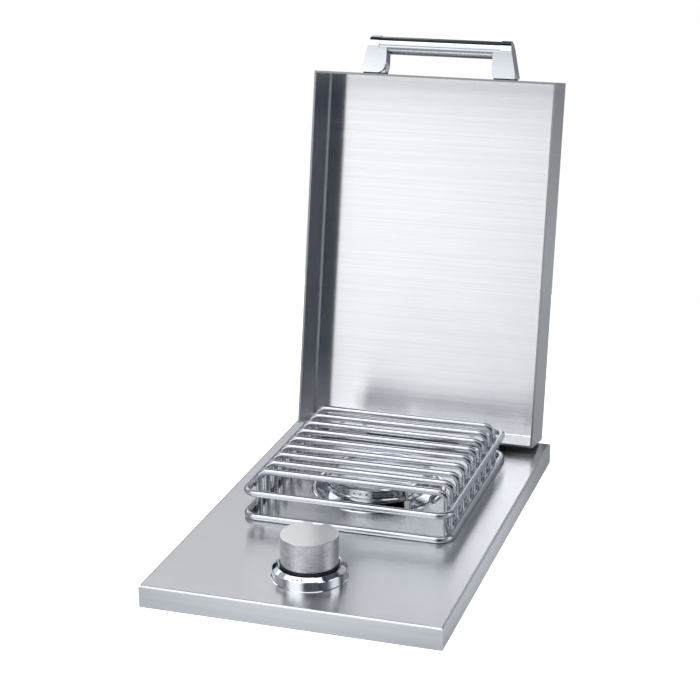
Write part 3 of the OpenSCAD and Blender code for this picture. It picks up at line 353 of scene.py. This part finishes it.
def plain(name, tint, rough, metallic=0.0, grain=120.0, depth=0.00004, vary=0.08, coat=0.0):
    """Moulded, cast, glazed or machined surface with a fine grain and slight colour variation."""
    mat = bpy.data.materials.new(name)
    nt, out = tree_of(mat)
    p = coords(nt)
    g = noise(nt, p, grain, 4.0, 0.6)
    cloud = noise(nt, p, 30.0, 3.0, 0.5)
    b = principled(nt, out, metallic, coat=coat)
    a = tuple(c * (1 - vary) for c in tint)
    z = tuple(min(1.0, c * (1 + vary)) for c in tint)
    nt.links.new(ramp(nt, cloud, [(0.3, a), (0.7, z)]), b.inputs["Base Color"])
    r = remap(nt, g, 0.3, 0.7, max(0.02, rough - 0.06), min(1.0, rough + 0.06))
    nt.links.new(r, b.inputs["Roughness"])
    nt.links.new(bump(nt, g, 0.3, depth), b.inputs["Normal"])
    return mat


STEEL = (0.745, 0.758, 0.778)
lid_across = (0.0, math.sin(LEAN), math.cos(LEAN))
lid_depth = (0.0, -math.cos(LEAN), math.sin(LEAN))
pivot_lift = (Matrix.Rotation(OPEN, 3, "X") @ PIVOT - PIVOT).z
# Height, in the lid's flat lie, below which its free edges get painted shade
lid_edge_z = DECK_Z + 3 * MM + pivot_lift
mats = {
    "deck_sheet": sheet_metal("deck_sheet", STEEL, 0.22, 0.0, (0, 1, 0), (0, 0, 1), aniso=1.0),
    "lid_sheet": sheet_metal("lid_sheet", STEEL, 0.22, OPEN, lid_across, lid_depth, aniso=1.0,
                             edge_z=lid_edge_z),
    "box_sheet": sheet_metal("box_sheet", (0.56, 0.57, 0.6), 0.38, 0.0, (0, 1, 0), (0, 0, 1)),
    "bowl": polished("bowl", (0.74, 0.76, 0.79), 0.08, 0.02, 40, depth=0.0004),
    "burner": polished("burner", (0.72, 0.74, 0.77), 0.09, 0.02, 70),
    "burner_casting": polished("burner_casting", (0.70, 0.72, 0.75), 0.10, 0.03, 90),
    "bracket_sheet": polished("bracket_sheet", (0.56, 0.57, 0.6), 0.32),
    "fastener": polished("fastener", (0.6, 0.61, 0.64), 0.25),
    "ceramic": plain("ceramic", (0.86, 0.85, 0.80), 0.22, coat=0.4),
    "wire": polished("wire", (0.62, 0.62, 0.64), 0.28),
    "black_plastic": plain("black_plastic", (0.012, 0.012, 0.014), 0.32),
    "lead": plain("lead", (0.02, 0.02, 0.02), 0.6),
    "brass": plain("brass", (0.72, 0.54, 0.24), 0.28, metallic=1.0),
    "stem_steel": polished("stem_steel", (0.6, 0.61, 0.63), 0.25),
    "bezel": polished("bezel", (0.84, 0.86, 0.90), 0.06, 0.02, 90),
    "knob": knob_metal("knob", (0.70, 0.71, 0.73), (0.99, 0.99, 0.995)),
    "rod": polished("rod", (0.61, 0.63, 0.67), 0.24, 0.03, 240),
    "hinge_steel": polished("hinge_steel", (0.40, 0.41, 0.43), 0.35),
    "handle": polished("handle", (0.74, 0.765, 0.80), 0.09, 0.02, 300, grain=(0.08, 1, 1)),
    # Painted shade: the handle's polished steel again, with a darker colour, standing in for darker
    # reflections along the bar
    "handle_tube": polished("handle_tube", (0.56, 0.58, 0.615), 0.08, 0.02, 300, grain=(0.08, 1, 1)),
    "pad": plain("pad", (0.035, 0.035, 0.04), 0.6),
    "marking": plain("marking", (0.03, 0.03, 0.035), 0.5),
}
finish_of = {s["node"]: s["material_slot"] for s in frame["record"]["subparts"]}
# The handle bar takes the darker copy of the handle's steel, a painted shade
finish_of["handle_bar"] = "handle_tube"


def dress(obj, mat):
    obj.data.materials.clear()
    obj.data.materials.append(mat)


SOFT_ANGLE = math.radians(32)
for name, obj in nodes.items():
    dress(obj, mats[finish_of[name]])
    for poly in obj.data.polygons:
        poly.use_smooth = True
    obj.data.set_sharp_from_angle(angle=SOFT_ANGLE)


# Pieces

def new_piece(name, bm, mat, body, smooth=True):
    me = bpy.data.meshes.new(name)
    bm.to_mesh(me)
    bm.free()
    if smooth:
        for poly in me.polygons:
            poly.use_smooth = True
        me.set_sharp_from_angle(angle=SOFT_ANGLE)
    obj = bpy.data.objects.new(name, me)
    bpy.context.scene.collection.objects.link(obj)
    me.materials.append(mat)
    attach(obj, body)
    return obj


def skin(bm, rows):
    """Walls from each row of corners to the next, and a cap on both ends."""
    for a, b in zip(rows, rows[1:]):
        for k in range(len(a)):
            n = (k + 1) % len(a)
            bm.faces.new((a[k], a[n], b[n], b[k]))
    bm.faces.new(rows[0][::-1])
    bm.faces.new(rows[-1])


WELD_SIZE = Vector((1.4 * MM, 3.1 * MM, 1.6 * MM))
WELD_OUT = 0.4 * MM    # from the legs' outer side
WELD_RISE = 2.1 * MM   # from the ring's middle
BAR_COUNT = 9


def blob(bm, centre, size, seed):
    """One lump of weld metal, slightly uneven."""
    made = bmesh.ops.create_icosphere(bm, subdivisions=2, radius=1.0)
    for v in made["verts"]:
        d = v.co.copy()
        uneven = (1.0 + 0.09 * math.sin(5.0 * d.x + seed) + 0.07 * math.sin(7.0 * d.y + 1.7 * seed)
                  + 0.06 * math.sin(6.0 * d.z + 2.3 * seed))
        v.co = centre + Vector((d.x * size.x, d.y * size.y, d.z * size.z)) * uneven


def grate_welds():
    """Welds between each bar's legs and the two rings, above and below the rod that they touch."""
    rings = [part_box("grate_lower_ring"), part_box("grate_upper_ring")]
    bar_lo, bar_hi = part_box("grate_bars")
    rod = (rings[0][1][2] - rings[0][0][2]) / 2
    first, last = bar_lo[1] + rod, bar_hi[1] - rod
    bm = bmesh.new()
    for i in range(BAR_COUNT):
        y = first + (last - first) * i / (BAR_COUNT - 1)
        for side in (-1, 1):
            x = side * (bar_hi[0] + WELD_OUT)
            for k, (ring_lo, ring_hi) in enumerate(rings):
                z = (ring_lo[2] + ring_hi[2]) / 2
                for up in ((1,) if k == 0 else (-1, 1)):
                    blob(bm, Vector((x, y, z + up * WELD_RISE)), WELD_SIZE,
                         3.1 * i + side + 1.3 * up + k)
    new_piece("grate_welds", bm, mats["rod"], "grate")


MARK_SUNK, MARK_PROUD = -0.05 * MM, 0.08 * MM   # from the cone's face


def dial_marks():
    """Three plain strokes of growing length on the bezel's cone at the front, and a dot at the back."""
    z_low, r_low = DECK_Z + 0.0115, 0.0395
    z_top, r_top = DECK_Z + 0.0147, 0.0351
    slope = Vector((r_top - r_low, z_top - z_low)).normalized()
    out = Vector((slope.y, -slope.x))
    bm = bmesh.new()

    def point(angle, along, lift):
        r = r_low + slope.x * along + out.x * lift
        z = z_low + slope.y * along + out.y * lift
        return bm.verts.new((KNOB.x - r * math.sin(angle), KNOB.y - r * math.cos(angle), z))

    def stroke(middle, width, start, end):
        steps = 3
        rows = []
        for i in range(steps + 1):
            a = middle + (i / steps - 0.5) * width
            rows.append([point(a, start, MARK_SUNK), point(a, end, MARK_SUNK),
                         point(a, end, MARK_PROUD), point(a, start, MARK_PROUD)])
        skin(bm, rows)

    for i, length in enumerate((0.0013, 0.0020, 0.0028)):
        stroke(math.radians(8 - 7 * i), math.radians(1.5), 0.0012, 0.0012 + length)
    stroke(math.pi, math.radians(2.4), 0.0020, 0.0035)
    bmesh.ops.recalc_face_normals(bm, faces=bm.faces)
    new_piece("dial_marks", bm, mats["marking"], "base", smooth=False)


def pushed_spring():
    """Coil between the gas plug and the stem's collar, built at the CAD spring's length; the real spring
    shortens as the knob is pushed in.
    """
    low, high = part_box("valve_spring")
    wire, turns, steps, sides = 0.7 * MM, 5, 80, 8
    radius = (high[0] - low[0]) / 2 - wire
    bottom, top = low[2] + wire, high[2] - wire
    bm = bmesh.new()
    rings = []
    for i in range(steps + 1):
        turn = 2 * math.pi * turns * i / steps
        ring = []
        for k in range(sides):
            round_wire = 2 * math.pi * k / sides
            r = radius + wire * math.cos(round_wire)
            z = bottom + (top - bottom) * i / steps + wire * math.sin(round_wire)
            ring.append(bm.verts.new((KNOB.x + r * math.cos(turn), KNOB.y + r * math.sin(turn), z)))
        rings.append(ring)
    skin(bm, rings)
    bmesh.ops.recalc_face_normals(bm, faces=bm.faces)
    coil = new_piece("valve_spring_coil", bm, mats["wire"], "gas_plug")
    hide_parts("valve_spring")
    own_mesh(coil)


grate_welds()
dial_marks()
pushed_spring()


# Floor, world and lights

FLOOR_HALF = 0.95
FLOOR_Z = -0.2 * MM               # just below the flange that rests on the counter
FLOOR_PALE = (0.85, 0.85, 0.85)   # what the camera sees, with the lift added
FLOOR_LIFT = 0.75
FLOOR_GREY = (0.50, 0.52, 0.55)   # what the object itself sees


def make_floor():
    bm = bmesh.new()
    r = FLOOR_HALF
    vs = [bm.verts.new((x, y, FLOOR_Z)) for x, y in ((-r, -r), (r, -r), (r, r), (-r, r))]
    bm.faces.new(vs)
    me = bpy.data.meshes.new("floor")
    bm.to_mesh(me)
    bm.free()
    floor = bpy.data.objects.new("floor", me)
    bpy.context.scene.collection.objects.link(floor)
    mat = bpy.data.materials.new("floor")
    nt, out = tree_of(mat)
    pale = nt.nodes.new("ShaderNodeBsdfDiffuse")
    pale.inputs["Color"].default_value = (*FLOOR_PALE, 1)
    grey = nt.nodes.new("ShaderNodeBsdfDiffuse")
    grey.inputs["Color"].default_value = (*FLOOR_GREY, 1)
    lift = nt.nodes.new("ShaderNodeEmission")
    lift.inputs["Color"].default_value = WHITE
    lift.inputs["Strength"].default_value = FLOOR_LIFT
    add = nt.nodes.new("ShaderNodeAddShader")
    nt.links.new(pale.outputs[0], add.inputs[0])
    nt.links.new(lift.outputs[0], add.inputs[1])
    seen = nt.nodes.new("ShaderNodeLightPath").outputs["Is Camera Ray"]
    nt.links.new(mix_shader(nt, seen, grey.outputs[0], add.outputs[0]), out.inputs["Surface"])
    me.materials.append(mat)


# Level of the world as a light on the object
SOFT_LIGHT = 0.6

# What polished metal sees of the studio: a dark room, with these lit cards in it. Each card is
# (name, bearing of its middle, half its width, lowest, highest, level, softness across, softness up).
# All but the name and the level are in degrees. Bearing 0 is in front of the object, and positive
# bearings are to its left.
ROOM = (0.008, 0.016, 0.035)
CARDS = [
    ("front_left", 34, 28, -10, 12, 1.62, 12, 3),
    ("front_low", 23, 60, -60, -10, 0.50, 4, 3),
    ("softbox", 30, 24, 18, 74, 1.60, 12, 3),
    ("left_high", 92, 24, 6, 60, 0.45, 10, 8),
    ("front_right", -66, 22, -20, 12, 0.70, 8, 4),
    ("right", -102, 16, 2, 45, 1.20, 3, 5),
    ("back_top", 180, 70, 44, 86, 0.075, 12, 6),
    ("back_left", 136, 26, 16, 40, 0.72, 1.5, 3),
    ("back_left_high", 135, 25.5, 27, 40, 1.42, 1.5, 2),
    ("back_right", -165, 25, 6, 40, 0.40, 10, 5),
    ("back_right_low", -150, 20, -14, 6, 0.36, 10, 5),
    ("back_low", -170, 60, -60, -12, 0.42, 20, 5),
]


def band(nt, value, half, soft):
    """1 inside the half width and 0 outside it, with a soft edge."""
    n = nt.nodes.new("ShaderNodeMapRange")
    n.interpolation_type = "SMOOTHSTEP"
    n.inputs["From Min"].default_value = half + soft
    n.inputs["From Max"].default_value = half - soft
    nt.links.new(value, n.inputs["Value"])
    return n.outputs[0]


def off_middle(nt, value, middle):
    """How far a bearing is from a middle one, the short way round."""
    off = math_node(nt, "SUBTRACT", value, middle)
    return math_node(nt, "ABSOLUTE", math_node(nt, "WRAP", off, 180.0, -180.0))


def studio(nt):
    """Level of the studio in each direction, from its cards."""
    x, y, z = split(nt, nt.nodes.new("ShaderNodeTexCoord").outputs["Generated"])
    left, front = (math_node(nt, "MULTIPLY", v, -1.0) for v in (x, y))
    bearing = math_node(nt, "MULTIPLY", math_node(nt, "ARCTAN2", left, front), 180 / math.pi)
    height = math_node(nt, "MULTIPLY", math_node(nt, "ARCSINE", z), 180 / math.pi)
    level = None
    for _, middle, half, low, high, strength, soft_b, soft_e in CARDS:
        across = band(nt, off_middle(nt, bearing, middle), half, soft_b)
        off = math_node(nt, "ABSOLUTE", math_node(nt, "SUBTRACT", height, (low + high) / 2))
        card = math_node(nt, "MULTIPLY", across, band(nt, off, (high - low) / 2, soft_e))
        card = math_node(nt, "MULTIPLY", card, strength)
        level = card if level is None else math_node(nt, "MAXIMUM", level, card)
    return level


def make_world():
    world = bpy.data.worlds.new("studio")
    bpy.context.scene.world = world
    world.use_nodes = True
    nt = world.node_tree
    nt.nodes.clear()
    out = nt.nodes.new("ShaderNodeOutputWorld")
    path = nt.nodes.new("ShaderNodeLightPath")
    level = studio(nt)
    mirrored = background(nt, join(nt, *(math_node(nt, "ADD", level, v) for v in ROOM)))
    metal = mix_shader(nt, path.outputs["Is Glossy Ray"], background(nt, WHITE, SOFT_LIGHT), mirrored)
    seen = math_node(nt, "MAXIMUM", path.outputs["Is Camera Ray"],
                     path.outputs["Is Transmission Ray"])
    nt.links.new(mix_shader(nt, seen, metal, background(nt, WHITE)), out.inputs["Surface"])


def area(name, at, to, size, power, glossy=False):
    data = bpy.data.lights.new(name, "AREA")
    data.shape = "RECTANGLE"
    data.size, data.size_y = size
    data.energy = power
    obj = bpy.data.objects.new(name, data)
    bpy.context.scene.collection.objects.link(obj)
    obj.location = at
    obj.rotation_mode = "QUATERNION"
    obj.rotation_quaternion = (Vector(to) - Vector(at)).to_track_quat("-Z", "Y")
    obj.visible_camera = False
    obj.visible_glossy = glossy


make_floor()
make_world()
area("overhead", (0.0, -0.65, 2.0), (0.0, -0.65, 0.0), (3.6, 1.2), 16.2, glossy=True)
area("floor_right", (0.225, -0.06, 0.11), (0.225, -0.06, 0.0), (0.03, 0.40), 0.19)
area("floor_front", (-0.02, -0.34, 0.12), (-0.02, -0.34, 0.0), (0.28, 0.03), 0.20)

view = bpy.context.scene.view_settings
view.view_transform = "Standard"
